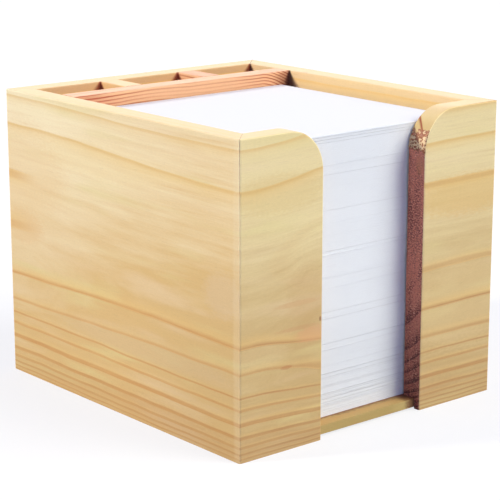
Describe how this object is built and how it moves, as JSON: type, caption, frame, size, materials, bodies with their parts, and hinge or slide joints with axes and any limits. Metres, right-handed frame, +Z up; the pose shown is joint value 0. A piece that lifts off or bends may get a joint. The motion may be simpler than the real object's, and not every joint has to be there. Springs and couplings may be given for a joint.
{
  "type": "memo holder",
  "caption": "Open pine box for a pile of square loose memo sheets, with a thumb slot down the front wall and a row of upright pen bays along the back.",
  "frame": {"origin": "middle of the footprint, on the surface the holder stands on", "axes": "+X to the right seen from the slotted front, +Y to the back, towards the pen bays, +Z up"},
  "size_m": [0.116, 0.131, 0.105],
  "materials": {
    "pine": "sanded pale pine, bare",
    "red_pine": "sanded reddish pine heartwood, bare",
    "base_pine": "thin sawn pine board, bare",
    "paper": "uncoated white paper"
  },
  "bodies": {
    "case": {"front_stile_left": "pine", "front_stile_right": "pine", "left_side_panel": "pine", "right_side_panel": "pine", "back_panel": "pine", "base_board": "base_pine", "partition_board": "red_pine", "divider_left": "pine", "divider_right": "red_pine"},
    "sheet_pile": {"sheet_bundle_1": "paper", "sheet_bundle_2": "paper", "sheet_bundle_3": "paper", "sheet_bundle_4": "paper", "sheet_bundle_5": "paper", "sheet_bundle_6": "paper", "sheet_bundle_7": "paper", "sheet_bundle_8": "paper"},
    "top_sheet": {"top_sheet": "paper"}
  },
  "joints": [
    {"name": "pile_lift", "type": "slide", "parent": "case", "child": "sheet_pile", "axis": [0, 0, 1], "range_m": [0, 0.112]},
    {"name": "top_sheet_lift", "type": "slide", "parent": "sheet_pile", "child": "top_sheet", "axis": [0, 0, 1], "range_m": [0, 0.02]}
  ]
}
